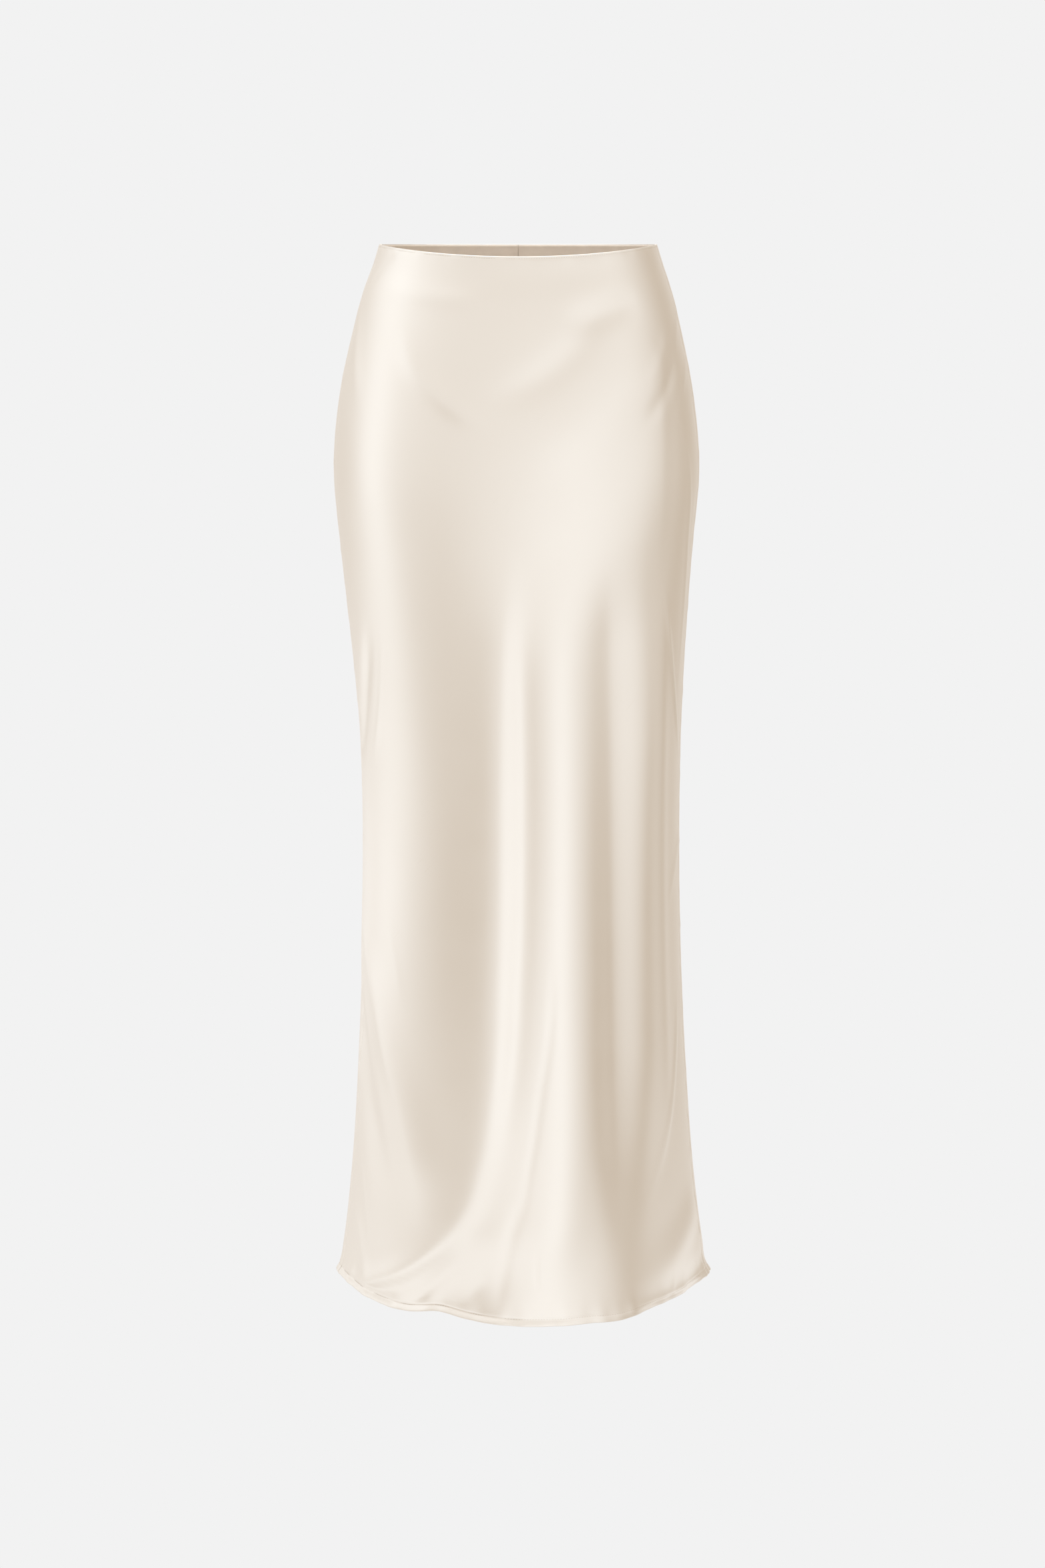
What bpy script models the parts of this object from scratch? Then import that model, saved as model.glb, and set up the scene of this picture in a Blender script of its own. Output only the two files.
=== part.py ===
"""Bias-cut satin skirt, filled out as worn, with no wearer.

Origin: the centre of the waist opening. +Z is up, the front faces -Y, +X is to the right of someone
who looks at the front. Sizes are in millimetres here and become metres where points are made.
Angles go round the skirt from the centre front (0) over the +X side (90) to the centre back (180).
"""

from collections import namedtuple

import bpy
import numpy as np

MM = 0.001

# Driving sizes
SKIRT_LENGTH = 955.0  # waist edge to hem at the side seams
WAIST_DIP = 10.5  # how much lower the waist edge is at the centre front
HEM_DIP = 6.0  # how much lower the hem is at the centre front
HEM_LIFT_POWER = 12  # the lifts of the hem are felt only close to it
SQUARENESS = 0.02  # how far the waist's oval leans towards a rounded rectangle
SQUARENESS_FADE = 3  # power with which that dies away down the skirt
PINCH_POWER = 6  # keeps the pinch of the sections close to the side seams
CLOTH = 1.2  # one layer of cloth, as built
HEM_TURN = 6.0  # depth of the hem turned up inside
FACING_DEPTH = 36.0  # depth of the strip inside the waist
FACING_CLOTH = 1.0
FACING_SET_DOWN = 1.0  # the facing's edge lies this far below the waist edge
FACING_SLACK = 0.12  # more room for the facing where the waist slopes
GAP = 0.3  # between pieces at a seam, and between facing and panel
SIDE_SEAM = 82.0  # degrees from the centre front: the side seams lie a little forward
SIDE_SEAM_RADIUS = 105.0  # how the wall curves there, which turns the seam's gap into an angle
SEAM_STRIP = 1.3  # degrees: the narrow strip of mesh along each seam

# The oval at each level. Front and back are depths from the skirt's own axis, and pinch draws the
# oval in beside the side seams, where the flare hangs in a soft corner.
Section = namedtuple("Section", "level half_width shift front back pinch")
SECTIONS = [
    Section(0, 125.0, 0.0, 90, 96, 0.0),
    Section(16, 130.0, 0.0, 92, 99, 0.0),
    Section(40, 138.5, -0.5, 96, 106, 0.0),
    Section(80, 149.0, -1.0, 102, 116, 0.0),
    Section(130, 159.5, -1.5, 108, 126, 0.0),
    Section(200, 166.0, -1.5, 115, 132, 0.0),
    Section(270, 160.5, -1.5, 120, 133, 0.0),
    Section(350, 153.5, 0.0, 125, 134, 0.0),
    Section(440, 147.5, 2.0, 130, 136, 0.0),
    Section(520, 146.0, 2.5, 134, 138, 0.02),
    Section(640, 148.0, 2.5, 139, 141, 0.06),
    Section(760, 153.0, 3.5, 144, 145, 0.14),
    Section(860, 160.5, 4.0, 149, 149, 0.30),
    Section(925, 168.5, 4.5, 153, 152, 0.46),
    Section(946, 172.0, 4.5, 155, 153, 0.50),
    Section(955, 175.5, 5.5, 156, 154, 0.52),
]

# Where the hem is lifted or lowered: it kinks left of the centre front. Half widths in degrees.
HemLift = namedtuple("HemLift", "angle half_width height")
HEM_LIFTS = [HemLift(-27, 8, 6.0), HemLift(-14, 10, 1.8), HemLift(30, 7, -2.3)]

# The largest folds. Each follows a route of (level, angle) points, and its height is outwards. Left
# and right are half widths in degrees. It grows from start to full, and dies away from fade to end.
Fold = namedtuple("Fold", "route height left right start full fade end")
SWEPT_RIDGE = [
    (300, -4), (440, -7), (627, -8), (740, -10), (810, -14), (860, -20), (900, -31), (925, -44), (945, -58),
]
SLIGHT_HOLLOW = [(350, 1), (544, 1), (627, 0), (702, -2), (777, -6), (845, -11)]
BROAD_RIDGE = [(340, 13), (485, 14), (740, 14), (853, 12), (905, 10)]
DEEP_HOLLOW = [(300, 31), (455, 33), (603, 34), (803, 34), (899, 35)]
DRAG_HOLLOW = [(640, -84), (690, -77), (750, -66), (805, -55), (860, -46), (900, -42)]
DRAG_RIDGE = [(620, -72), (660, -62), (722, -50), (778, -39), (832, -33), (880, -30)]
KINK = [(870, -8), (900, -14), (930, -22), (955, -27)]
FOLDS = [
    # front
    Fold(SWEPT_RIDGE, 3.0, 10, 5, 260, 370, 930, 1010),
    Fold(SLIGHT_HOLLOW, -1.3, 3, 4, 300, 400, 700, 820),
    Fold(BROAD_RIDGE, 4.2, 9, 9, 250, 370, 860, 960),
    Fold(DEEP_HOLLOW, -4.2, 6.5, 8, 260, 370, 860, 960),
    Fold([(250, 53), (600, 55), (900, 55)], 4.2, 12, 7, 280, 450, 700, 840),
    Fold([(60, 42), (130, 45), (250, 47)], 1.6, 12, 5, 60, 130, 230, 330),
    Fold(KINK, -6.5, 11, 18, 870, 955, 1050, 1100),
    Fold(DRAG_HOLLOW, -2.6, 7, 7, 640, 720, 820, 900),
    Fold(DRAG_RIDGE, 2.8, 7, 8, 590, 680, 800, 890),
    # back
    Fold([(320, 158), (640, 161), (955, 176)], -6.0, 10, 10, 320, 600, 890, 990),
    Fold([(340, 176), (640, 178), (860, 184), (955, 200)], 4.0, 8, 8, 340, 620, 900, 1000),
    Fold([(300, 194), (640, 193), (955, 204)], -5.0, 7, 7, 300, 560, 900, 1000),
    Fold([(360, 210), (955, 208)], 4.0, 8, 8, 360, 640, 900, 1000),
    Fold([(330, 228), (955, 226)], -5.5, 9, 9, 330, 600, 900, 1000),
    Fold([(280, 136), (955, 138)], 3.5, 8, 8, 280, 560, 880, 990),
    Fold([(420, 116), (955, 112)], -4.0, 8, 8, 420, 700, 920, 1000),
]

# Mesh steps
PANEL_COLUMNS = 34
WAIST_LEVELS = [0.0, 6.0, 16.0, FACING_DEPTH]
MIDDLE_LEVELS = np.linspace(62.0, 926.0, 23)
HEM_STEP = 1.0  # height of the step where the turned-up hem begins


def remove_everything():
    for item in list(bpy.data.objects):
        bpy.data.objects.remove(item, do_unlink=True)


def new_collection(name):
    collection = bpy.data.collections.new(name)
    bpy.context.scene.collection.children.link(collection)
    return collection


def satin(name, colour, roughness):
    material = bpy.data.materials.new(name)
    material.use_nodes = True
    shader = material.node_tree.nodes["Principled BSDF"]
    shader.inputs["Base Color"].default_value = (*colour, 1.0)
    shader.inputs["Roughness"].default_value = roughness
    shader.inputs["Metallic"].default_value = 0.0
    return material


def through_rows(levels, values, at):
    """A smooth curve through the table's rows: cubics whose slopes come from the neighbours."""
    levels, values = np.asarray(levels, dtype=float), np.asarray(values, dtype=float)
    slopes = np.gradient(values, levels)
    row = np.clip(np.searchsorted(levels, at) - 1, 0, len(levels) - 2)
    step = levels[row + 1] - levels[row]
    t = np.clip((at - levels[row]) / step, 0.0, 1.0)
    rise = t * t * (3 - 2 * t)
    leave = t * (1 - t) ** 2
    arrive = t * t * (t - 1)
    ends = values[row] * (1 - rise) + values[row + 1] * rise
    return ends + step * (slopes[row] * leave + slopes[row + 1] * arrive)


def smooth_step(start, end, at):
    t = np.clip((at - start) / (end - start), 0.0, 1.0)
    return t * t * (3 - 2 * t)


def beside(angle, centre):
    """Signed degrees from a centre, the short way round."""
    return (angle - centre + 180.0) % 360.0 - 180.0


def fold_height(angle, level):
    """How far the folds lift the cloth at an angle (degrees) and a level, added over all folds."""
    lift = np.zeros_like(angle)
    for fold in FOLDS:
        levels, angles = zip(*fold.route)
        off = beside(angle, through_rows(levels, angles, level))
        off = off / np.where(off < 0, fold.left, fold.right)
        strength = smooth_step(fold.start, fold.full, level) - smooth_step(fold.fade, fold.end, level)
        lift += fold.height * strength * np.exp(-(off**2))
    return lift


def skirt_points(angle, level, inset=0.0):
    """Points of the outer surface, in metres, or of one that lies the inset (mm) inside it."""
    table = np.array(SECTIONS, dtype=float)
    half_width, shift, front, back, pinch = (
        through_rows(table[:, 0], table[:, column], level) for column in range(1, 6)
    )
    turn = np.radians(angle)
    share = level / SKIRT_LENGTH
    square = SQUARENESS * (1 - share**SQUARENESS_FADE)
    depth = np.where(np.cos(turn) > 0, front, back) * (1 - pinch * np.sin(turn) ** PINCH_POWER)
    across = (np.sin(turn) + square * np.sin(3 * turn)) / (1 - square)
    along = (np.cos(turn) - square * np.cos(3 * turn)) / (1 - square)
    # outward direction in plan, at right angles to the oval
    across_rate = half_width * (np.cos(turn) + 3 * square * np.cos(3 * turn))
    along_rate = depth * (np.sin(turn) - 3 * square * np.sin(3 * turn))
    length = np.hypot(across_rate, along_rate)
    out = fold_height(angle, level) - inset
    front_only = np.maximum(np.cos(turn), 0.0) ** 2
    lifts = sum(
        lift.height * np.exp(-((beside(angle, lift.angle) / lift.half_width) ** 2)) for lift in HEM_LIFTS
    )
    x = shift + half_width * across + out * along_rate / length
    y = -depth * along - out * across_rate / length
    z = lifts * share**HEM_LIFT_POWER - level - front_only * (WAIST_DIP * (1 - share) + HEM_DIP * share)
    return np.stack([x, y, z], axis=-1) * MM


def panel_columns(start, end):
    """Angles from seam to seam, each edge half a gap short of the seam's line."""
    edge = np.degrees(GAP / 2 / SIDE_SEAM_RADIUS)
    inner = np.linspace(start + SEAM_STRIP, end - SEAM_STRIP, PANEL_COLUMNS)
    return np.concatenate([[start + edge], inner, [end - edge]])


def cloth_sheet(name, points, material, collection, cloth, layers):
    """One piece of cloth: a grid of points with its wall grown inwards, layers thick on each row."""
    rows, columns = points.shape[:2]
    index = np.arange(rows * columns).reshape(rows, columns)
    corners = [index[:-1, :-1], index[1:, :-1], index[1:, 1:], index[:-1, 1:]]
    faces = np.stack(corners, axis=-1).reshape(-1, 4)
    mesh = bpy.data.meshes.new(name)
    mesh.from_pydata(points.reshape(-1, 3).tolist(), [], faces.tolist())
    mesh.shade_smooth()
    mesh.materials.append(material)
    piece = bpy.data.objects.new(name, mesh)
    collection.objects.link(piece)

    group = piece.vertex_groups.new(name="layers")
    most = max(layers)
    for row, count in enumerate(layers):
        group.add(index[row].tolist(), count / most, "REPLACE")
    wall = piece.modifiers.new("wall", "SOLIDIFY")
    wall.thickness = cloth * most * MM
    wall.offset = -1.0
    wall.vertex_group = group.name
    wall.thickness_vertex_group = 0.0
    return piece


def make_panel(name, start, end, material, collection):
    """A panel from the waist edge to the hem, two layers thick where the hem is turned up."""
    hem_top = SKIRT_LENGTH - HEM_TURN
    levels = [*WAIST_LEVELS, *MIDDLE_LEVELS, hem_top - HEM_STEP, hem_top, SKIRT_LENGTH]
    layers = [2 if level >= hem_top else 1 for level in levels]
    level, angle = np.meshgrid(levels, panel_columns(start, end), indexing="ij")
    return cloth_sheet(name, skirt_points(angle, level), material, collection, CLOTH, layers)


def make_facing(name, angles, material, collection):
    """A strip inside the waist, made from the panel's own rows and columns, moved in."""
    levels = [FACING_SET_DOWN, *WAIST_LEVELS[1:]]
    level, angle = np.meshgrid(levels, angles, indexing="ij")
    points = skirt_points(angle, level, inset=CLOTH + GAP + FACING_SLACK)
    return cloth_sheet(name, points, material, collection, FACING_CLOTH, [1] * len(levels))


def main():
    remove_everything()
    collection = new_collection("satin_skirt")
    outer = satin("satin", (0.80, 0.76, 0.70), 0.30)
    inner = satin("facing", (0.86, 0.77, 0.67), 0.52)
    back_start, back_end, back_centre = SIDE_SEAM, 360.0 - SIDE_SEAM, 180.0

    make_panel("front_panel", -SIDE_SEAM, SIDE_SEAM, outer, collection)
    make_panel("back_panel", back_start, back_end, outer, collection)

    make_facing("waist_facing_front", panel_columns(-SIDE_SEAM, SIDE_SEAM), inner, collection)
    columns = panel_columns(back_start, back_end)
    edge = np.degrees(GAP / 2 / SECTIONS[0].half_width)
    right = np.append(columns[columns < back_centre - 1], back_centre - edge)
    left = np.append(back_centre + edge, columns[columns > back_centre + 1])
    make_facing("waist_facing_back_right", right, inner, collection)
    make_facing("waist_facing_back_left", left, inner, collection)


main()
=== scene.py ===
# Looks of a bias-cut satin skirt, filled out as worn. Metres, +Z up, the front faces -Y.
# Sizes below are in mm. An angle goes round from the centre front over +X, and a level goes down
# from the waist edge.
import bpy
import numpy as np
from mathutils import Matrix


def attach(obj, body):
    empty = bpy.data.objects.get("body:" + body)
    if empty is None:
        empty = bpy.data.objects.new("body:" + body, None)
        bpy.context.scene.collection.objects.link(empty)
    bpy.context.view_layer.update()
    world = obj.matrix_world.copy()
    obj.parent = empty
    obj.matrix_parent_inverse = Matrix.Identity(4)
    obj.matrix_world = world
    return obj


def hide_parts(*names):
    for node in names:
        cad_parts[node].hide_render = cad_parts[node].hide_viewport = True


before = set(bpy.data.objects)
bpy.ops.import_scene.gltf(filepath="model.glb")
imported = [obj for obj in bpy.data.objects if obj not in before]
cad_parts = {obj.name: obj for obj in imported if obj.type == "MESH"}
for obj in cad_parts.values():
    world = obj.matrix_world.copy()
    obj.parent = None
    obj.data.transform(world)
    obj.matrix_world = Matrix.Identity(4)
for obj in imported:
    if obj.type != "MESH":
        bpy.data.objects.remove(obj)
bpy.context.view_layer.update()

mm = 0.001
print("frame loaded:", sorted(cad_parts))

skirt = {
    "length": 955.0,  # from the waist edge to the hem at the side seams
    "waistDip": 10.5,  # the waist edge is this much lower at the centre front
    "hemDip": 6.0,  # and the hem is this much lower there
    # angle, half width in degrees, and lift of the hem
    "hemLifts": [(-76, 18, 2.2), (-27, 8, 6.0), (-14, 10, 1.8), (30, 7, -2.3), (62, 14, -3.0)],
    "liftPower": 12,  # the lifts are felt only close to the hem
    "squareness": 0.02,  # how far the waist's oval leans towards a rounded rectangle
    "squarenessFade": 3,  # the power with which that dies away down the skirt
    "pinchPower": 6,  # keeps the pinch of the sections close to the side seams
    "sideSeam": 82.0,  # degrees
    "centreBack": 180.0,
    "degreeLength": 2.5,  # mm of cloth to a degree, in the middle of the skirt
    "seamAllowance": 9.0,
}

# level, half width, shift to the right, depth in front, depth behind, pinch beside the side seams
sections = [
    (0, 125.0, 0.0, 90, 96, 0.0),
    (16, 130.0, 0.0, 92, 99, 0.0),
    (40, 138.5, -0.5, 96, 106, 0.0),
    (80, 149.0, -1.0, 102, 116, 0.0),
    (130, 159.5, -1.5, 108, 126, 0.0),
    (200, 166.0, -1.5, 115, 132, 0.0),
    (270, 160.5, -1.5, 120, 133, 0.0),
    (350, 153.5, 0.0, 125, 134, 0.0),
    (440, 147.5, 2.0, 130, 136, 0.0),
    (520, 146.0, 2.5, 134, 138, 0.02),
    (640, 148.0, 2.5, 139, 141, 0.06),
    (760, 153.0, 3.5, 144, 145, 0.14),
    (860, 160.5, 4.0, 149, 149, 0.30),
    (925, 168.5, 4.5, 153, 152, 0.46),
    (946, 172.0, 4.5, 155, 153, 0.50),
    (955, 175.5, 5.5, 156, 154, 0.52),
]

# Long folds. Each follows a route of (level, angle) points. Its height is outwards, and it grows and
# dies away between the four levels of its ends. Widths are half widths in degrees, left and right.
falls = [
    # the ridge that sweeps from the middle to the left of the hem, and the slight hollow right of it
    {"route": [(300, -4), (440, -7), (627, -8), (740, -10), (810, -14),
               (860, -20), (900, -31), (925, -44), (945, -58)],
     "height": 3.0, "width": (10, 5), "ends": (240, 340, 930, 1010)},
    {"route": [(350, 1), (544, 1), (627, 0), (702, -2), (777, -6), (845, -11)],
     "height": -1.3, "width": (3, 4), "ends": (300, 400, 700, 820)},
    # the broad ridge right of the middle with a sharp crease along it
    {"route": [(340, 13), (485, 14), (627, 14), (740, 14), (853, 12), (905, 10)],
     "height": 4.2, "width": (9, 9), "ends": (250, 370, 860, 960)},
    {"route": [(600, 11), (696, 9), (746, 6), (784, 4), (816, 2), (880, -1)],
     "height": -0.5, "width": (1.5, 1.5), "ends": (610, 690, 800, 880)},
    # the deep narrow hollow and the ridge beside it
    {"route": [(300, 31), (455, 33), (603, 34), (803, 34), (899, 35)],
     "height": -4.8, "width": (7.5, 10.5), "ends": (250, 350, 780, 930)},
    {"route": [(250, 53), (600, 55), (900, 55)],
     "height": 4.6, "width": (12, 7), "ends": (280, 450, 700, 840)},
    # the edge of the shade beside the right hip
    {"route": [(60, 42), (98, 52), (130, 50), (170, 48), (250, 47), (330, 47)],
     "height": 1.6, "width": (12, 5), "ends": (60, 130, 230, 330)},
    # the dent that lifts the hem where it kinks
    {"route": [(870, -8), (900, -14), (930, -22), (955, -27)],
     "height": -6.5, "width": (11, 18), "ends": (870, 955, 1050, 1100)},
    # the drags that come down from the left side: a hollow and the ridge right of it
    {"route": [(640, -87), (690, -80), (750, -69), (805, -58), (860, -49), (900, -45)],
     "height": -2.8, "width": (9, 6), "ends": (640, 720, 820, 900)},
    {"route": [(620, -75), (660, -65), (722, -53), (778, -42), (832, -36), (880, -33)],
     "height": 2.8, "width": (6, 9), "ends": (590, 680, 800, 890)},
    # behind
    {"route": [(320, 158), (640, 161), (955, 176)],
     "height": -6.0, "width": (10, 10), "ends": (320, 600, 890, 990)},
    {"route": [(340, 176), (640, 178), (860, 184), (955, 200)],
     "height": 4.0, "width": (8, 8), "ends": (340, 620, 900, 1000)},
    {"route": [(300, 194), (640, 193), (955, 204)],
     "height": -5.0, "width": (7, 7), "ends": (300, 560, 900, 1000)},
    {"route": [(360, 210), (955, 208)],
     "height": 4.0, "width": (8, 8), "ends": (360, 640, 900, 1000)},
    {"route": [(330, 228), (955, 226)],
     "height": -5.5, "width": (9, 9), "ends": (330, 600, 900, 1000)},
    {"route": [(280, 136), (955, 138)],
     "height": 3.5, "width": (8, 8), "ends": (280, 560, 880, 990)},
    {"route": [(420, 116), (955, 112)],
     "height": -4.0, "width": (8, 8), "ends": (420, 700, 920, 1000)},
]

# Short creases: middle (angle, level), slant in degrees from straight down (towards +angle),
# half length, half width, height, and how far the ends bow aside, all in mm.
creases = [
    # the soft V below the waist
    (-28, 114, 47, 46, 10, 2.0, 4),
    (12, 98, -50, 52, 14, -1.6, -6),
    (25, 138, -50, 60, 34, 2.6, -6),
    (31, 52, -76, 34, 13, -1.8, 0),
    (-30, 38, 88, 48, 8, 1.1, 0),
    # drags at the right hip
    (54, 96, -49, 26, 6, 0.7, 0),
    (54, 124, -49, 34, 7, -1.3, 0),
    (74, 72, -49, 30, 3, 0.5, 3),
    (73, 112, -46, 38, 3, 0.5, 3),
    # drags at the left of the waist
    (-65, 20, -58, 24, 3.5, -0.7, 2),
    (-70, 90, 30, 45, 9, 0.8, 0),
    # the roll at the left above the knee
    (-68, 404, -24, 58, 10, -2.8, -3),
    (-54, 400, -16, 50, 4, 0.6, -4),
    # fine lines at the left
    (-49, 632, 16, 34, 5, 0.4, 0),
    (-66, 858, 26, 42, 2.5, 0.5, -3),
    # lines at the right side
    (65, 385, 20, 66, 3, 1.0, 3),
    (72, 270, 6, 95, 4, 0.6, -8),
    (74, 555, -37, 38, 5, 0.6, 0),
    (62, 770, -21, 76, 4, 0.9, -5),
    # near the hem
    (-28, 924, -40, 32, 5, -1.0, 0),
    (-5, 890, -11, 48, 5, -0.8, 3),
    (-16, 930, -30, 14, 5, -0.5, 0),
    (4, 905, 0, 16, 1.5, -0.4, 1.5),
    (-64, 912, 34, 34, 7, 1.2, -4),
    (62, 905, -60, 44, 18, 2.8, -2),
    (54, 943, -25, 7, 2, 0.5, 0),
    (60, 960, -80, 40, 16, -3.1, 0),
]

# What the needle does to the cloth: the stitched lines pull in, the seams and the hem pucker a little.
# Each of the waves is a wavelength, a start and a height.
sewing = {
    "hemDepth": 6.0,
    "hemGroove": 0.28,
    "hemGrooveWidth": 0.9,
    # how far the stiff hem turns out below its stitches, by angle
    "hemKick": [
        (-180, 1.0), (-110, 1.0), (-70, 1.8), (15, 1.7), (28, 0.8), (42, -2.2), (66, -2.0), (76, -0.8),
        (84, 0.2), (100, 0.7), (180, 1.0),
    ],
    "hemKickStart": 0.8,  # above the stitches
    "hemWaves": [(33.0, 0.6, 0.35), (17.5, 2.1, 0.2), (61.0, 4.0, 0.5)],
    "hemWaveReach": 14.0,
    "hemRound": 1.15,  # the cloth's length round there, against degreeLength
    "seamWaves": [(27.0, 1.0, 0.28), (15.5, 2.6, 0.18), (71.0, 0.4, 0.3)],
    "seamWaveReach": 9.0,
    "seamWaveShift": 3.0,  # mm to a degree of the seam's angle, so that the two seams differ
    "waistLine": 1.9,  # the level of the stitches along the waist edge
    "waistGroove": 0.12,
    "waistGrooveWidth": 0.7,
    "waistWaves": [(19.0, 0.3, 0.1), (43.0, 1.9, 0.16)],
    "waistWaveReach": 6.0,
    "waistRound": 0.9,
}


def throughRows(levels, values, at):
    # A smooth curve through rows: cubics whose slopes come from the rows beside them.
    levels, values = np.asarray(levels, float), np.asarray(values, float)
    slopes = np.gradient(values, levels)
    row = np.clip(np.searchsorted(levels, at) - 1, 0, len(levels) - 2)
    step = levels[row + 1] - levels[row]
    t = np.clip((at - levels[row]) / step, 0.0, 1.0)
    rise = t * t * (3 - 2 * t)
    leave = t * (1 - t) ** 2
    arrive = t * t * (t - 1)
    between = values[row] * (1 - rise) + values[row + 1] * rise
    return between + step * (slopes[row] * leave + slopes[row + 1] * arrive)


def smoothStep(start, end, at):
    # From 0 at the start to 1 at the end, level at both.
    t = np.clip((at - start) / (end - start), 0.0, 1.0)
    return t * t * (3 - 2 * t)


def aside(angle, centre):
    # Signed degrees from a centre, the short way round.
    return (angle - centre + 180.0) % 360.0 - 180.0


def waves(terms, at):
    # A sum of sines, each of its own wavelength, start and height.
    return sum(height * np.sin(2 * np.pi * at / length + start) for length, start, height in terms)


def foldLift(angle, level):
    # How far the cloth is lifted: a bell across each fold, with its own width to either side, times a
    # smooth growth along it, all added. A short crease is a bell across and a blunter one along.
    lift = np.zeros_like(angle)
    for fall in falls:
        levels, angles = zip(*fall["route"])
        start, full, fade, end = fall["ends"]
        off = aside(angle, throughRows(levels, angles, level))
        off = off / np.where(off < 0, *fall["width"])
        strength = smoothStep(start, full, level) - smoothStep(fade, end, level)
        lift += fall["height"] * strength * np.exp(-off**2)
    for angleAt, levelAt, slant, halfLength, halfWidth, height, bow in creases:
        right = aside(angle, angleAt) * skirt["degreeLength"]
        down = level - levelAt
        turn = np.radians(slant)
        along = (down * np.cos(turn) + right * np.sin(turn)) / halfLength
        across = right * np.cos(turn) - down * np.sin(turn) - bow * along**2
        lift += height * np.exp(-along**4 - (across / halfWidth) ** 2)
    return lift


def sewnLift(angle, level):
    # The stitched lines as narrow grooves, and waves that die away from the hem, the seams and the waist.
    around = angle * skirt["degreeLength"]
    upFromHem = skirt["length"] - level
    fade = np.exp(-((upFromHem / sewing["hemWaveReach"]) ** 2))
    lift = waves(sewing["hemWaves"], around * sewing["hemRound"]) * fade
    kickAngles, kicks = zip(*sewing["hemKick"])
    turned = smoothStep(sewing["hemDepth"] + sewing["hemKickStart"], 0.0, upFromHem)
    lift += throughRows(kickAngles, kicks, aside(angle, 0.0)) * turned
    off = (upFromHem - sewing["hemDepth"]) / sewing["hemGrooveWidth"]
    lift -= sewing["hemGroove"] * np.exp(-(off**2))
    for seam in (-skirt["sideSeam"], skirt["sideSeam"]):
        off = aside(angle, seam) * skirt["degreeLength"] / sewing["seamWaveReach"]
        lift += waves(sewing["seamWaves"], level + sewing["seamWaveShift"] * seam) * np.exp(-off**2)
    fade = np.exp(-((level / sewing["waistWaveReach"]) ** 2))
    lift += waves(sewing["waistWaves"], around * sewing["waistRound"]) * fade
    off = (level - sewing["waistLine"]) / sewing["waistGrooveWidth"]
    lift -= sewing["waistGroove"] * np.exp(-(off**2))
    return lift


def skirtPoints(angle, level, inset=0.0):
    # An oval at each level, from the sections' smooth curves, moved outwards by the folds and inwards
    # by the inset (mm), at right angles to the oval. The edge levels dip at the centre front.
    angle, level = np.broadcast_arrays(np.asarray(angle, float), np.asarray(level, float))
    levels, *sizes = np.array(sections, dtype=float).T
    halfWidth, shift, front, back, pinch = (throughRows(levels, size, level) for size in sizes)
    turn = np.radians(angle)
    share = level / skirt["length"]
    square = skirt["squareness"] * (1 - share ** skirt["squarenessFade"])
    depth = np.where(np.cos(turn) > 0, front, back) * (1 - pinch * np.sin(turn) ** skirt["pinchPower"])
    across = (np.sin(turn) + square * np.sin(3 * turn)) / (1 - square)
    along = (np.cos(turn) - square * np.cos(3 * turn)) / (1 - square)
    acrossRate = halfWidth * (np.cos(turn) + 3 * square * np.cos(3 * turn))
    alongRate = depth * (np.sin(turn) - 3 * square * np.sin(3 * turn))
    rate = np.hypot(acrossRate, alongRate)
    out = foldLift(angle, level) + sewnLift(angle, level) - inset
    frontOnly = np.maximum(np.cos(turn), 0.0) ** 2
    dip = skirt["waistDip"] * (1 - share) + skirt["hemDip"] * share
    lifts = sum(lift * np.exp(-((aside(angle, at) / wide) ** 2)) for at, wide, lift in skirt["hemLifts"])
    x = shift + halfWidth * across + out * alongRate / rate
    y = -depth * along - out * acrossRate / rate
    z = lifts * share ** skirt["liftPower"] - level - frontOnly * dip
    return np.stack([x, y, z], axis=-1) * mm


def clothFrame(angle, level, inset=0.0):
    # Places on the cloth with the directions round it, down it and out of it, from small steps.
    turn, drop = 0.1, 0.25
    place = skirtPoints(angle, level, inset)
    around = skirtPoints(angle + turn, level, inset) - skirtPoints(angle - turn, level, inset)
    down = skirtPoints(angle, level + drop, inset) - skirtPoints(angle, level - drop, inset)
    around /= np.linalg.norm(around, axis=-1, keepdims=True)
    out = np.cross(down, around)
    out /= np.linalg.norm(out, axis=-1, keepdims=True)
    return place, around, np.cross(around, out), out


def newPiece(name, points, faces):
    # An object at the origin, from places in metres and lists of their numbers round each face.
    mesh = bpy.data.meshes.new(name)
    mesh.from_pydata(points.reshape(-1, 3), [], faces)
    mesh.shade_smooth()
    piece = bpy.data.objects.new(name, mesh)
    bpy.context.scene.collection.objects.link(piece)
    return piece


def gridFaces(index):
    # Quads over a grid of point numbers, facing the side from which columns run left to right and rows
    # run down.
    corners = [index[:-1, :-1], index[1:, :-1], index[1:, 1:], index[:-1, 1:]]
    return np.stack(corners, axis=-1).reshape(-1, 4)


def gridPiece(name, points, uv, materials, thickness, inner):
    # One sheet of cloth: a grid of points, its faces out, with its wall grown to the other side. The
    # wall's material is the face's, moved on by inner.
    rows, columns = points.shape[:2]
    quads = gridFaces(np.arange(rows * columns).reshape(rows, columns))
    piece = newPiece(name, points, quads)
    layer = piece.data.uv_layers.new(name="cloth")
    layer.uv.foreach_set("vector", uv.reshape(-1, 2)[quads.ravel()].astype(np.float32).ravel())
    for material in materials:
        piece.data.materials.append(material)
    wall = piece.modifiers.new("wall", "SOLIDIFY")
    wall.thickness = thickness * mm
    wall.offset = -1.0
    wall.use_even_offset = False
    wall.material_offset = inner
    return piece


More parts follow.
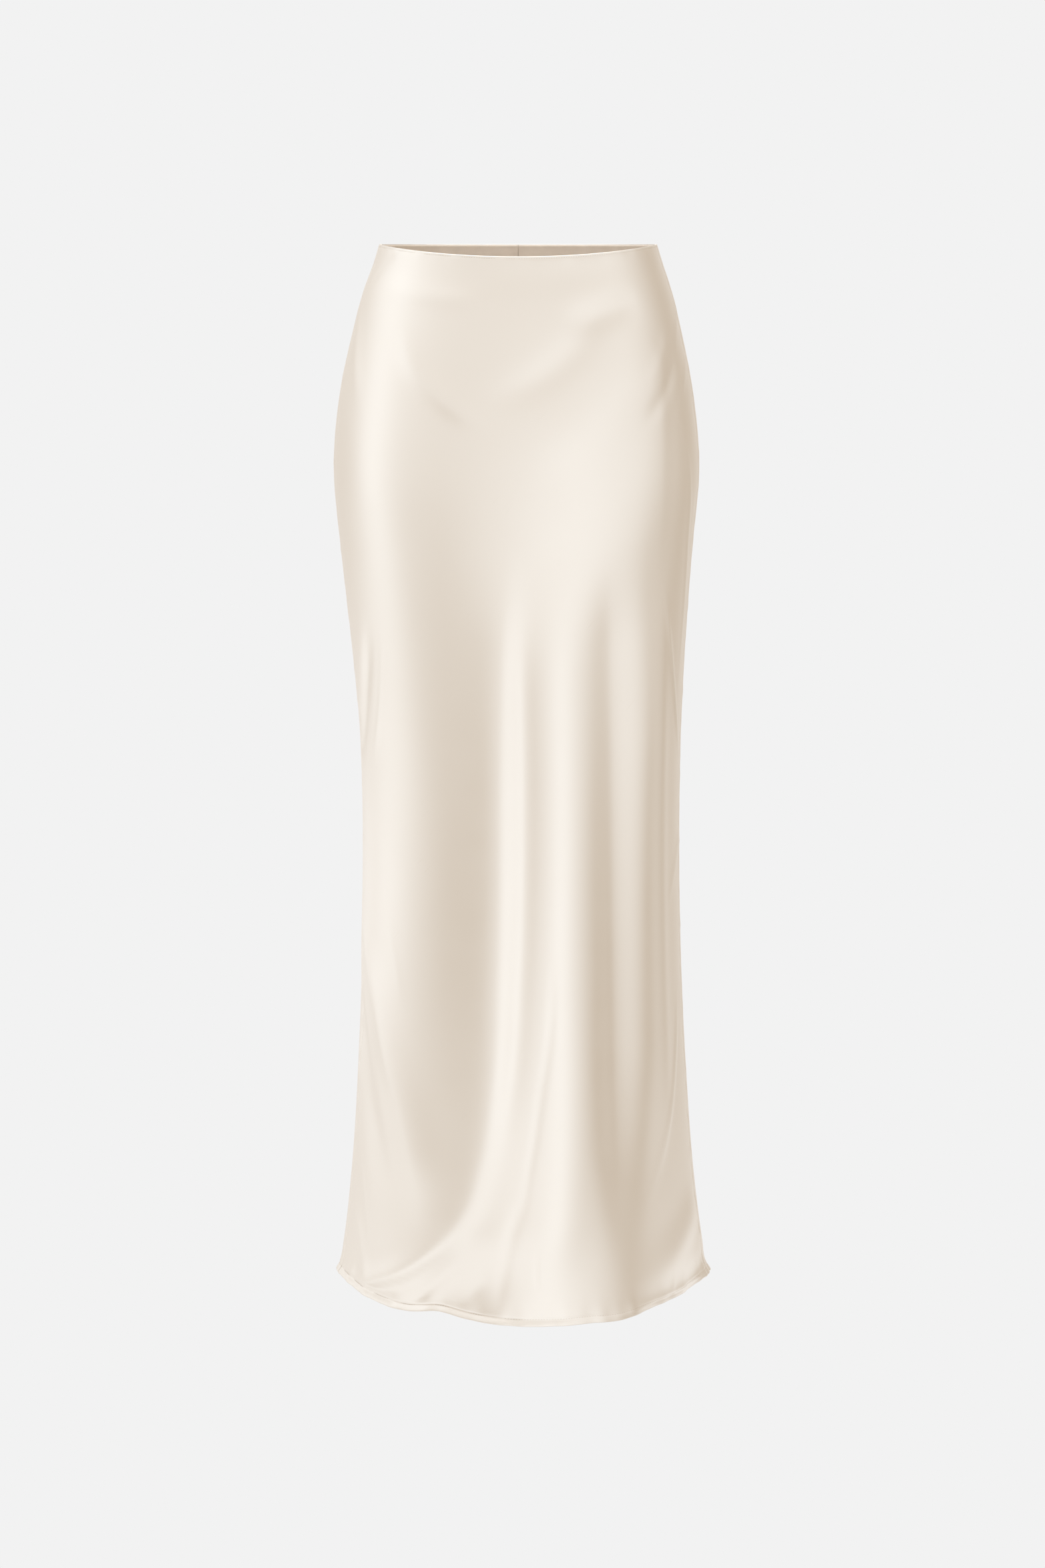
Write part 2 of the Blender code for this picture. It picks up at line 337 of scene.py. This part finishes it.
def clothUv(points):
    # Distances over the cloth in metres: across from the middle column, and down from the first row.
    acrossSteps = np.linalg.norm(np.diff(points, axis=1), axis=-1)
    downSteps = np.linalg.norm(np.diff(points, axis=0), axis=-1)
    u = np.concatenate([np.zeros((len(points), 1)), np.cumsum(acrossSteps, axis=1)], axis=1)
    v = np.concatenate([np.zeros((1, points.shape[1])), np.cumsum(downSteps, axis=0)], axis=0)
    middle = points.shape[1] // 2
    return np.stack([u - u[:, middle:middle + 1], -v], axis=-1)


def clothArea(points):
    # The area of a grid of points, from the cross products of its cells' diagonals.
    first = points[1:, 1:] - points[:-1, :-1]
    second = points[:-1, 1:] - points[1:, :-1]
    return np.linalg.norm(np.cross(first, second), axis=-1).sum() / 2


def newMaterial(name):
    # A material with its nodes and its shader.
    material = bpy.data.materials.new(name)
    material.use_nodes = True
    return material, material.node_tree, material.node_tree.nodes["Principled BSDF"]


def addNode(tree, kind, inputs=None, **settings):
    # A node with its settings. An input is another node's output or a value of its own.
    made = tree.nodes.new(kind)
    for key, value in settings.items():
        setattr(made, key, value)
    for key, value in (inputs or {}).items():
        if isinstance(value, bpy.types.NodeSocket):
            tree.links.new(value, made.inputs[key])
        else:
            made.inputs[key].default_value = value
    return made


def noiseOn(tree, vector, size, detail=1.0):
    # Noise whose patches are about one size (mm) across.
    settings = {"Vector": vector, "Scale": 1 / (size * mm), "Detail": detail, "Roughness": 0.5}
    return addNode(tree, "ShaderNodeTexNoise", settings).outputs[0]


def threadNoise(tree, vector, degrees, length, width):
    # Noise drawn out along threads of a length and width (mm) that lie at an angle. The mapping counts
    # in threads, so a patch is one unit across.
    oneUnit = 1 / mm
    turn, size = (0, 0, np.radians(degrees)), (length * mm, width * mm, 1)
    settings = {"Vector": vector, "Rotation": turn, "Scale": size}
    threads = addNode(tree, "ShaderNodeMapping", settings, vector_type="TEXTURE").outputs[0]
    return noiseOn(tree, threads, oneUnit)


def spread(tree, value, low, high):
    # Noise lies mostly between 0.3 and 0.7: this spreads it from low to high.
    settings = {"Value": value, "From Min": 0.3, "From Max": 0.7, "To Min": low, "To Max": high}
    return addNode(tree, "ShaderNodeMapRange", settings).outputs[0]


def mixed(tree, share, first, second):
    # From the first colour to the second.
    return addNode(tree, "ShaderNodeMixRGB", {0: share, 1: (*first, 1), 2: (*second, 1)}).outputs[0]


def raised(tree, height, depth, under=None):
    # Bump of a depth in mm, over another bump if there is one.
    inputs = {"Height": height, "Distance": depth * mm, "Strength": 1.0}
    if under is not None:
        inputs["Normal"] = under
    return addNode(tree, "ShaderNodeBump", inputs).outputs[0]


satin = {
    "colour": (0.80, 0.757, 0.70),
    "shade": (0.78, 0.733, 0.672),  # where the floats lie closer
    "shadeSpread": (-0.9, 2.4),
    "metallic": 0.8,
    "roughness": 0.29,
    "roughnessSpread": 0.012,
    "bias": 45.0,  # degrees
    "floatLength": 9.0,
    "floatWidth": 0.32,
    "floatDepth": 0.0035,
    "slubLength": 26.0,
    "slubWidth": 0.9,
    "slubDepth": 0.006,
    "mottle": 4.2,
    "mottleDepth": 0.013,
    "cloud": 38.0,
    "cloudDetail": 3.0,
}


def makeSatin():
    # The face: clouds in colour and gloss, a faint mottle, and the floats and slubs on the bias.
    material, tree, shader = newMaterial("satin")
    cloth = addNode(tree, "ShaderNodeUVMap", uv_map="cloth").outputs[0]
    cloud = noiseOn(tree, cloth, satin["cloud"], satin["cloudDetail"])
    slub = threadNoise(tree, cloth, satin["bias"], satin["slubLength"], satin["slubWidth"])
    floats = threadNoise(tree, cloth, satin["bias"], satin["floatLength"], satin["floatWidth"])
    mottle = noiseOn(tree, cloth, satin["mottle"])
    closeness = addNode(tree, "ShaderNodeMath", {0: cloud, 1: slub}, operation="MULTIPLY").outputs[0]
    tone = mixed(tree, spread(tree, closeness, *satin["shadeSpread"]), satin["colour"], satin["shade"])
    tree.links.new(tone, shader.inputs["Base Color"])
    glossiest = satin["roughness"] - satin["roughnessSpread"]
    dullest = satin["roughness"] + satin["roughnessSpread"]
    tree.links.new(spread(tree, cloud, glossiest, dullest), shader.inputs["Roughness"])
    relief = raised(tree, mottle, satin["mottleDepth"])
    relief = raised(tree, slub, satin["slubDepth"], relief)
    relief = raised(tree, floats, satin["floatDepth"], relief)
    tree.links.new(relief, shader.inputs["Normal"])
    shader.inputs["Metallic"].default_value = satin["metallic"]
    return material


dullSide = {
    "colour": (0.86, 0.77, 0.67),
    "shade": (0.82, 0.73, 0.63),
    "mottle": 9.0,
    "mottleDetail": 4.0,
    "metallic": 0.1,
    "roughness": 0.52,
    "ribWidth": 0.4,
    "warpRib": 6,  # lengths of the ribs, in rib widths
    "weftRib": 4,
    "ribDepth": 0.012,
}


def makeDull(name):
    # The back of the cloth: a matt crepe of short crossing ribs.
    material, tree, shader = newMaterial(name)
    cloth = addNode(tree, "ShaderNodeUVMap", uv_map="cloth").outputs[0]
    rib = dullSide["ribWidth"]
    warp = threadNoise(tree, cloth, satin["bias"], rib * dullSide["warpRib"], rib)
    weft = threadNoise(tree, cloth, satin["bias"] + 90, rib * dullSide["weftRib"], rib)
    crepe = addNode(tree, "ShaderNodeMath", {0: warp, 1: weft}, operation="ADD").outputs[0]
    mottle = noiseOn(tree, cloth, dullSide["mottle"], dullSide["mottleDetail"])
    tone = mixed(tree, spread(tree, mottle, 0.0, 1.0), dullSide["colour"], dullSide["shade"])
    tree.links.new(tone, shader.inputs["Base Color"])
    tree.links.new(raised(tree, crepe, dullSide["ribDepth"]), shader.inputs["Normal"])
    shader.inputs["Roughness"].default_value = dullSide["roughness"]
    shader.inputs["Metallic"].default_value = dullSide["metallic"]
    return material


thread = {
    # darker than the cloth: partly painted shade of the stitches' dimples; the shade colour is painted
    # shade in the grooves between the plies
    "colour": (0.62, 0.54, 0.45),
    "shade": (0.46, 0.38, 0.30),
    "roughness": 0.42,
    "twist": 0.3,
    "twistDepth": 0.02,
    "bandScale": 6,  # the wave texture makes about this many bands to a unit
    "unevenness": 1.5,
}


def makeThread():
    # Two plies twisted together: fine diagonal bands across the stitch, raised by a bump. The darker bands
    # are painted shade in the grooves between the plies, and the thread's tone is set darker than the
    # cloth's, partly painted shade that stands for the shade in the stitches' dimples.
    material, tree, shader = newMaterial("sewingThread")
    place = addNode(tree, "ShaderNodeTexCoord").outputs["Object"]
    scale = 1 / (thread["twist"] * mm) / thread["bandScale"]
    settings = {"Vector": place, "Scale": scale, "Distortion": thread["unevenness"]}
    twist = addNode(tree, "ShaderNodeTexWave", settings, bands_direction="DIAGONAL").outputs["Fac"]
    # painted shade: the bands turn to the darker colour where the bump is low, between the plies
    tree.links.new(mixed(tree, twist, thread["shade"], thread["colour"]), shader.inputs["Base Color"])
    tree.links.new(raised(tree, twist, thread["twistDepth"]), shader.inputs["Normal"])
    shader.inputs["Roughness"].default_value = thread["roughness"]
    return material


satinFace = makeSatin()
satinBack = makeDull("satinBack")
facingCloth = makeDull("facingCloth")
sewingThread = makeThread()
print("materials made")

panel = {
    "cloth": 0.3,  # thickness
    "hemRoll": 0.9,  # radius of the fold at the hem
    "foldRows": 8,
    "waistRoll": 0.5,  # and of the fold at the waist edge
    "rollRows": 7,
    "waistTurn": 8.0,  # how far the cloth goes down inside the waist edge
    "turnRows": 4,
    "turnTo": 0.75,  # the level of the last of those rows
    "waistRows": [1.2, 1.9, 2.7, 4.5, 7.0, 10.5, 14.5, 18.5, 22.5],  # levels of the rows by the waist
    "upperFrom": 26.5,  # from here rows are an upperStep apart, and below the hips a lowerStep
    "upperStep": 3.8,
    "hips": 175.0,
    "lowerStep": 5.2,
    "closeOver": 2.4,  # the closeRows lie over this many depths of the hem
    "closeRows": 13,
    "closeAfter": 1.2,  # below the rows above them
    "foldBefore": 0.5,  # between the last of them and the fold
    "foldAfter": 0.6,  # between the fold and the rows inside
    "insideRows": 5,  # of the cloth that is turned up
    "overStitches": 0.8,  # it ends this far above the stitches
    "columnStep": 1.1,  # degrees, and finer by the sides and along the sharp crease
    "columnSamples": 2000,
    "sideStep": 0.7,
    "sideFrom": 54.0,
    "sideTo": 90.0,
    "creaseStep": 0.8,
    "creaseAngles": (0.0, 14.0),
    "sideRound": 0.9,  # the cloth's length round at the side seams, against degreeLength
    "seamColumns": [0.12, 0.5, 1.0, 1.8, 3.0, 4.6],  # distances from a seam
    "evenFrom": 6.4,
    "ditch": 0.9,  # how deep the cloth dips into a side seam
    "ditchWidth": 1.3,
    "allowanceInset": 0.75,
    # columns of the seam allowance: the share of its width, and how much deeper it lies there
    "allowance": [(1.0, 0.0), (0.6, 0.0), (0.33, 0.05), (0.13, 0.25), (0.04, 0.45)],
}


def panelRows():
    # Levels and insets down the cloth: up inside the waist, over its edge, down the outside, round
    # the hem and up inside it. Both folds are half circles.
    roll, fold, hips = panel["waistRoll"], panel["hemRoll"], panel["hips"]
    foldLevel = skirt["length"] - fold
    closeLevel = skirt["length"] - sewing["hemDepth"] * panel["closeOver"]
    hemInside = skirt["length"] - sewing["hemDepth"] - panel["overStitches"]
    over = np.linspace(np.pi, 0, panel["rollRows"])
    under = np.linspace(0, np.pi, panel["foldRows"])
    upperRows = round((hips - panel["upperFrom"]) / panel["upperStep"])
    lowerRows = round((closeLevel - hips) / panel["lowerStep"])
    turnIn = np.linspace(panel["waistTurn"], panel["turnTo"], panel["turnRows"])
    outside = np.concatenate([
        panel["waistRows"],
        np.linspace(panel["upperFrom"], hips, upperRows),
        np.linspace(hips, closeLevel, lowerRows)[1:],
        np.linspace(closeLevel + panel["closeAfter"], foldLevel - panel["foldBefore"], panel["closeRows"]),
    ])
    up = np.linspace(foldLevel - panel["foldAfter"], hemInside, panel["insideRows"])
    levels = [turnIn, roll * (1 - np.sin(over)), outside, foldLevel + fold * np.sin(under), up]
    insets = [
        np.full(len(turnIn), 2 * roll), roll * (1 - np.cos(over)), np.zeros(len(outside)),
        fold * (1 - np.cos(under)), np.full(len(up), 2 * fold),
    ]
    return np.concatenate(levels), np.concatenate(insets)


def seamEdge(depth):
    # Distances from a seam (mm) and how far the cloth dips there.
    near = np.array(panel["seamColumns"])
    return near, depth * np.exp(-near / panel["ditchWidth"])


def evenColumns(first, last):
    # Angles whose spacing follows the detail: finer by the sides and along the sharp crease.
    fine = np.linspace(first, last, panel["columnSamples"])
    fromFront = np.abs(aside(fine, 0.0))
    step = np.where(fromFront > panel["sideFrom"], panel["sideStep"], panel["columnStep"])
    step = np.where(fromFront > panel["sideTo"], panel["columnStep"], step)
    onCrease = (fine > panel["creaseAngles"][0]) & (fine < panel["creaseAngles"][1])
    step = np.where(onCrease, panel["creaseStep"], step)
    count = np.concatenate([[0], np.cumsum((fine[1] - fine[0]) / step[1:])])
    return np.interp(np.linspace(0, count[-1], round(count[-1])), count, fine)


def panelColumns(start, end):
    # Angles and insets from seam to seam: a dip into each seam, and the allowance turned back inside.
    perDegree = skirt["degreeLength"] * panel["sideRound"]
    near, dip = seamEdge(panel["ditch"])
    share, deeper = np.array(panel["allowance"]).T
    offsets = np.concatenate([skirt["seamAllowance"] * share, near]) / perDegree
    insets = np.concatenate([panel["allowanceInset"] + deeper, dip])
    margin = panel["evenFrom"] / perDegree
    run = evenColumns(start + margin, end - margin)
    angles = np.concatenate([start + offsets, run, end - offsets[::-1]])
    return angles, np.concatenate([insets, np.zeros(len(run)), insets[::-1]])


def makePanel(name, start, end):
    # The insets of rows and columns are added. On the cloth that is turned up inside, a column's inset
    # counts the other way, so that both layers meet in the seam.
    levels, rowInset = panelRows()
    angles, columnInset = panelColumns(start, end)
    inside = rowInset / rowInset.max()
    inset = rowInset[:, None] + columnInset[None, :] * (1 - 2 * inside)[:, None]
    points = skirtPoints(angles[None, :], levels[:, None], inset)
    piece = gridPiece(name, points, clothUv(points), [satinFace, satinBack], panel["cloth"], 1)
    print(name, "made:", points.shape, "cloth", round(clothArea(points), 4), "square metres")
    return piece


frontPanel = makePanel("frontPanel", -skirt["sideSeam"], skirt["sideSeam"])
backPanel = makePanel("backPanel", skirt["sideSeam"], 360 - skirt["sideSeam"])
for piece, node in ((frontPanel, "front_panel"), (backPanel, "back_panel")):
    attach(piece, "root")
    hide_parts(node)

facing = {
    "cloth": 0.3,  # thickness
    "depth": 36.0,
    "inset": 1.6,  # its face, from the outside of the skirt
    "standOff": 0.8,  # how far its lower edge hangs in from that
    "ripples": [(47.0, 0.5, 0.5), (29.0, 2.2, 0.3)],
    "dip": 0.28,  # into its seams
    "sideRound": 0.85,
    "columnStep": 1.3,
    "flatTo": 3.4,
    "flatRows": 15,
    # the rows that turn out into the seam along its top: level, and how far out
    "topRows": [(2.6, 0.0), (1.9, 0.03), (1.3, 0.12), (0.95, 0.26), (0.75, 0.42)],
}


def facingRipple(angle, level):
    # How far the facing stands in from its seam: nothing at the top, a little and uneven at its lower edge.
    ripple = waves(facing["ripples"], angle * skirt["degreeLength"])
    return (level / facing["depth"]) ** 2 * (facing["standOff"] + ripple)


def makeFacing(name, start, end):
    # Rows go up, so that the face looks inwards: flat up to the edge, where it turns out into its seam.
    # Columns dip into the seams at both ends.
    topLevels, turnOut = np.array(facing["topRows"]).T
    levels = np.concatenate([np.linspace(facing["depth"], facing["flatTo"], facing["flatRows"]), topLevels])
    rowInset = facing["inset"] - np.concatenate([np.zeros(facing["flatRows"]), turnOut])
    perDegree = skirt["degreeLength"] * facing["sideRound"]
    near, dip = seamEdge(facing["dip"])
    margin = panel["evenFrom"] / perDegree
    run = np.linspace(start + margin, end - margin, round((end - start) / facing["columnStep"]))
    angles = np.concatenate([start + near / perDegree, run, end - near[::-1] / perDegree])
    columnInset = np.concatenate([dip, np.zeros(len(run)), dip[::-1]])
    inset = rowInset[:, None] - columnInset[None, :] + facingRipple(angles[None, :], levels[:, None])
    points = skirtPoints(angles[None, :], levels[:, None], inset)
    piece = gridPiece(name, points, clothUv(points), [facingCloth], facing["cloth"], 0)
    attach(piece, "root")
    print(name, "made:", points.shape, "cloth", round(clothArea(points), 4), "square metres")
    return piece


facingFront = makeFacing("facingFront", -skirt["sideSeam"], skirt["sideSeam"])
facingBackRight = makeFacing("facingBackRight", skirt["sideSeam"], skirt["centreBack"])
facingBackLeft = makeFacing("facingBackLeft", skirt["centreBack"], 360 - skirt["sideSeam"])
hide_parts("waist_facing_front")
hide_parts("waist_facing_back_right")
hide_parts("waist_facing_back_left")

stitching = {
    "width": 0.26,
    "sides": 6,
    "rings": 4,
    "bluntness": 0.35,  # 0.5 is a ball's ends
    "hemPitch": 2.5,
    "hemLength": 1.9,
    "hemInset": -0.02,  # below 0 the stitches stand out of the cloth
    "waistPitch": 2.2,
    "waistLength": 1.6,
    "waistInset": -0.02,
    "seamPitch": 2.8,
    "seamLength": 0.9,
    "seamInset": 0.62,
    "seamFrom": 6.0,  # below the waist edge
    "seamTo": 3.0,  # above the hem
    "overlockPitch": 2.4,
    "overlockDepth": 4.2,
    "overlockWidth": 0.22,
    "overlockInset": 0.06,
    "lineShare": 0.8,  # the needle line's stitches, as a share of the pitch
    "edgeShare": 0.6,  # and the loops round the edge
    "edgeInset": -0.14,
    "edgeBelow": 0.12,
    "backFrom": 2.4,
    "backTo": 1.0,  # above the facing's lower edge
    "backPitch": 1.5,
    "backLength": 0.9,
    "backInset": -0.1,
}


def sewStitches(name, places, along, out, length, width):
    # A row of stitches as one mesh: a bead with blunt ends, rings round its length, set at each place.
    sides, rings = stitching["sides"], stitching["rings"]
    reach = np.cos(np.pi * np.arange(1, rings + 1) / (rings + 1))
    spin = 2 * np.pi * np.arange(sides) / sides
    size = (1 - reach**2) ** stitching["bluntness"]
    ringSide, ringUp = np.outer(size, np.cos(spin)).ravel(), np.outer(size, np.sin(spin)).ravel()
    ring = np.stack([np.repeat(reach, sides), ringSide, ringUp], axis=-1)
    bead = np.vstack([[(1, 0, 0)], ring, [(-1, 0, 0)]]) * (length / 2, width / 2, width / 2)
    directions = np.stack([along, np.cross(out, along), out], axis=1)
    points = places[:, None, :] + np.einsum("vk,nkc->nvc", bead * mm, directions)
    here = 1 + np.arange(rings * sides).reshape(rings, sides)
    following = np.roll(here, -1, axis=1)
    quads = np.stack([here[:-1], here[1:], following[1:], following[:-1]], axis=-1).reshape(-1, 4)
    last = len(bead) - 1
    tip = np.stack([np.zeros(sides, int), here[0], following[0]], axis=-1)
    tail = np.stack([np.full(sides, last), following[-1], here[-1]], axis=-1)
    starts = np.arange(len(places))[:, None, None] * len(bead)
    quads = (quads + starts).reshape(-1, 4).tolist()
    ends = (np.vstack([tip, tail]) + starts).reshape(-1, 3).tolist()
    piece = newPiece(name, points, quads + ends)
    piece.data.materials.append(sewingThread)
    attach(piece, "root")


def anglesRound(level, pitch):
    # Angles that are evenly spaced along the cloth, all round at one level.
    fine = np.arange(0, 360.1, 0.25)
    path = skirtPoints(fine, np.full_like(fine, level))
    far = np.concatenate([[0], np.cumsum(np.linalg.norm(np.diff(path, axis=0), axis=-1))])
    count = round(far[-1] / (pitch * mm))
    return np.interp((np.arange(count) + 0.5) * far[-1] / count, far, fine)


def stitchesRound(name, level, inset, pitch, length):
    # A line of stitches round the skirt at one level.
    angle = anglesRound(level, pitch)
    place, around, _, out = clothFrame(angle, np.full_like(angle, level), inset)
    sewStitches(name, place, around, out, length, stitching["width"])


def seamStitches(name, seam):
    # Short stitches across a side seam, deep in its ditch, from under the waist edge to above the hem.
    level = np.arange(stitching["seamFrom"], skirt["length"] - stitching["seamTo"], stitching["seamPitch"])
    place, around, _, out = clothFrame(np.full_like(level, seam), level, stitching["seamInset"])
    sewStitches(name, place, around, out, stitching["seamLength"], stitching["width"])


def backStitches(name):
    # Short stitches across the facing's seam at the centre back, on its inner face.
    level = np.arange(stitching["backFrom"], facing["depth"] - stitching["backTo"], stitching["backPitch"])
    angle = np.full_like(level, skirt["centreBack"])
    face = facing["inset"] + facingRipple(angle, level) + stitching["backInset"]
    place, around, _, out = clothFrame(angle, level, face)
    sewStitches(name, place, around, -out, stitching["backLength"], stitching["overlockWidth"])


def overlock(name):
    # The thread over the facing's lower edge: a needle line, slanting loops down to the edge and back,
    # and short loops round the edge itself. A row is its level, inset, slant and length of stitch.
    depth, reach, pitch = facing["depth"], stitching["overlockDepth"], stitching["overlockPitch"]
    lineInset, edgeInset = stitching["overlockInset"], stitching["edgeInset"]
    loop = float(np.hypot(pitch / 2, reach))
    rows = [
        (depth - reach, lineInset, 0, pitch * stitching["lineShare"]),
        (depth - reach / 2, lineInset, 1, loop),
        (depth - reach / 2, lineInset, -1, loop),
        (depth + stitching["edgeBelow"], edgeInset, 0, pitch * stitching["edgeShare"]),
    ]
    angle = anglesRound(depth, pitch)
    for number, (level, inset, slant, length) in enumerate(rows, start=1):
        turned = angle + slant * pitch / 4 / skirt["degreeLength"]
        face = facing["inset"] + inset + facingRipple(turned, min(level, depth))
        place, around, down, out = clothFrame(turned, np.full_like(angle, level), face)
        along = around * pitch / 2 + down * slant * reach
        along /= np.linalg.norm(along, axis=-1, keepdims=True)
        sewStitches(name + str(number), place, along, -out, length, stitching["overlockWidth"])


hemLine = skirt["length"] - sewing["hemDepth"]
stitchesRound("hemStitches", hemLine, stitching["hemInset"], stitching["hemPitch"], stitching["hemLength"])
stitchesRound("waistStitches", sewing["waistLine"], stitching["waistInset"], stitching["waistPitch"],
              stitching["waistLength"])
seamStitches("rightSeamStitches", skirt["sideSeam"])
seamStitches("leftSeamStitches", -skirt["sideSeam"])
overlock("facingOverlock")
backStitches("centreBackStitches")
print("stitches made")

# A tent of pale cloth stands round the skirt, out of the camera's sight: lamps brighten it from
# outside and flags darken it. Its sizes are in metres, and azimuths go from the front over +X.
tent = {
    "radius": 1.4,
    "low": -2.6,
    "high": 2.2,
    "rows": 49,
    "azimuthStep": 4.0,
    "tone": 0.86,
    "neutralTone": 1.19,  # deeper tones are warmer than this one
    "warmth": (0.0, 0.18, 0.38),
    "top": (1.1, 1.6, 0.35),  # above these heights the tent grows brighter, by this much
    "ends": 0.92,  # the light from below it
    "overhead": 3.0,  # the light from above it
    "horizon": 0.2,  # how gently one turns into the other
}

# azimuth, height, half width in degrees, half height, how far it leans in degrees to a metre, light
lamps = [
    # the left: high, at the hips, and low
    (-90, 0.72, 42, 0.62, 0, 0.44),
    (-75, -0.18, 19, 0.42, 0, 0.36),
    (-105, -0.8, 28, 0.34, 40, 0.38),
    (-142, -0.8, 20, 0.18, 0, 0.22),
    (-126, -0.97, 9, 0.18, 0, -0.12),
    (-36, -0.8, 15, 0.25, 0, -0.24),
    (-26, -0.48, 9, 0.2, 0, -0.2),
    (-8, -0.62, 12, 0.21, 0, -0.16),
    (-60, -1.05, 18, 0.3, 0, -0.06),
    # the front
    (12, -0.85, 33, 0.7, 0, 0.41),
    (-45, -1.65, 70, 0.4, 0, 0.3),
    (-70, -1.34, 55, 0.12, 0, 0.36),
    (-40, 0.0, 22, 0.2, 0, 0.08),
    (-5, 0.9, 50, 0.6, 0, 0.2),
    (-55, 0.3, 22, 0.3, 0, 0.07),
    (30, -0.05, 36, 0.45, 0, 0.2),
    (58, 0.3, 22, 0.35, 0, 0.16),
    (12, 0.72, 34, 0.22, 0, -0.24),
    # the right
    (116, 0.0, 27, 2.2, 0, -0.2),
    (69, -0.95, 13, 0.5, 0, -0.28),
    (120, -1.45, 32, 0.24, 0, 0.42),
]


def tentTone(azimuth, height):
    # The tent's own tone, and a soft oval for each lamp or flag.
    tone = np.full(np.broadcast(azimuth, height).shape, tent["tone"])
    for lampAzimuth, lampHeight, wide, tall, lean, light in lamps:
        above = (height - lampHeight) / tall
        beside = aside(azimuth, lampAzimuth + lean * (height - lampHeight)) / wide
        tone = tone + light * np.exp(-beside**2 - above**2)
    start, end, more = tent["top"]
    return tone + more * smoothStep(start, end, height)


def closedGrid(name, points):
    # A grid of points whose last column joins the first.
    rows, columns = points.shape[:2]
    index = np.arange(rows * columns).reshape(rows, columns)
    return newPiece(name, points, gridFaces(np.concatenate([index, index[:, :1]], axis=1)))


def makeTent():
    # A cylinder whose light is stored at its points.
    azimuth = np.arange(180, -180, -tent["azimuthStep"])[None, :]
    height = np.linspace(tent["high"], tent["low"], tent["rows"])[:, None]
    x, y = tent["radius"] * np.sin(np.radians(azimuth)), -tent["radius"] * np.cos(np.radians(azimuth))
    piece = closedGrid("tent", np.stack(np.broadcast_arrays(x, y, height), axis=-1))
    tone = tentTone(azimuth, height)[..., None]
    colour = tone + np.array(tent["warmth"]) * (tone - tent["neutralTone"])
    colour = np.concatenate([colour, np.ones_like(tone)], axis=-1)
    layer = piece.data.attributes.new("light", "FLOAT_COLOR", "POINT")
    layer.data.foreach_set("color", colour.astype(np.float32).ravel())
    material = bpy.data.materials.new("tentCloth")
    material.use_nodes = True
    tree = material.node_tree
    tree.nodes.clear()
    light = addNode(tree, "ShaderNodeAttribute", attribute_name="light")
    glow = addNode(tree, "ShaderNodeEmission", {"Color": light.outputs["Color"], "Strength": 1.0})
    addNode(tree, "ShaderNodeOutputMaterial", {"Surface": glow.outputs[0]})
    piece.data.materials.append(material)
    piece.visible_camera = False


ground = {
    "tone": (0.888, 0.888, 0.888, 1),  # the floor and the backdrop that the camera sees
    "level": -1.55,
    "rings": [400.0, 40.0, 8.0, 2.0, 0.5],
    "spokes": 64,
}


def makeWorld():
    # Plain to the camera; what the open ends of the tent let in otherwise.
    world = bpy.data.worlds.new("studio")
    bpy.context.scene.world = world
    world.use_nodes = True
    tree = world.node_tree
    tree.nodes.clear()
    direction = addNode(tree, "ShaderNodeTexCoord").outputs["Generated"]
    up = addNode(tree, "ShaderNodeSeparateXYZ", {0: direction}).outputs["Z"]
    strength = addNode(tree, "ShaderNodeMapRange", {
        "Value": up, "From Min": -tent["horizon"], "From Max": tent["horizon"],
        "To Min": tent["ends"], "To Max": tent["overhead"],
    }).outputs[0]
    ends = addNode(tree, "ShaderNodeBackground", {"Color": (1, 1, 1, 1), "Strength": strength}).outputs[0]
    plain = addNode(tree, "ShaderNodeBackground", {"Color": ground["tone"], "Strength": 1.0}).outputs[0]
    toCamera = addNode(tree, "ShaderNodeLightPath").outputs["Is Camera Ray"]
    mix = addNode(tree, "ShaderNodeMixShader", {0: toCamera, 1: ends, 2: plain})
    addNode(tree, "ShaderNodeOutputWorld", {"Surface": mix.outputs[0]})


def makeFloor():
    # A wide disc from rings and spokes.
    radius = np.array(ground["rings"])[:, None]
    turn = np.linspace(2 * np.pi, 0, ground["spokes"], endpoint=False)[None, :]
    x, y = radius * np.cos(turn), radius * np.sin(turn)
    floor = closedGrid("floor", np.stack(np.broadcast_arrays(x, y, ground["level"]), axis=-1))
    material, _, shader = newMaterial("paleFloor")
    shader.inputs["Base Color"].default_value = (0, 0, 0, 1)
    shader.inputs["Specular IOR Level"].default_value = 0.0
    shader.inputs["Emission Color"].default_value = ground["tone"]
    shader.inputs["Emission Strength"].default_value = 1.0
    floor.data.materials.append(material)
    floor.visible_diffuse = floor.visible_glossy = floor.visible_shadow = False


makeWorld()
makeTent()
makeFloor()
print("studio lit")

# place in metres, tilt in degrees, and the rest in mm
lens = {"place": (0.0039, -3.2, 0.0), "downTilt": 8.735, "focal": 80.65, "sensor": 36.0}
cameraData = bpy.data.cameras.new("camera")
cameraData.lens = lens["focal"]
cameraData.sensor_width = lens["sensor"]
camera = bpy.data.objects.new("camera", cameraData)
camera.location = lens["place"]
camera.rotation_euler = (np.radians(90 - lens["downTilt"]), 0, 0)
bpy.context.scene.collection.objects.link(camera)
bpy.context.scene.camera = camera

view = bpy.context.scene.view_settings
view.view_transform = "Standard"
view.look = "None"
view.exposure = 0.0
view.gamma = 1.0

bpy.context.view_layer.update()
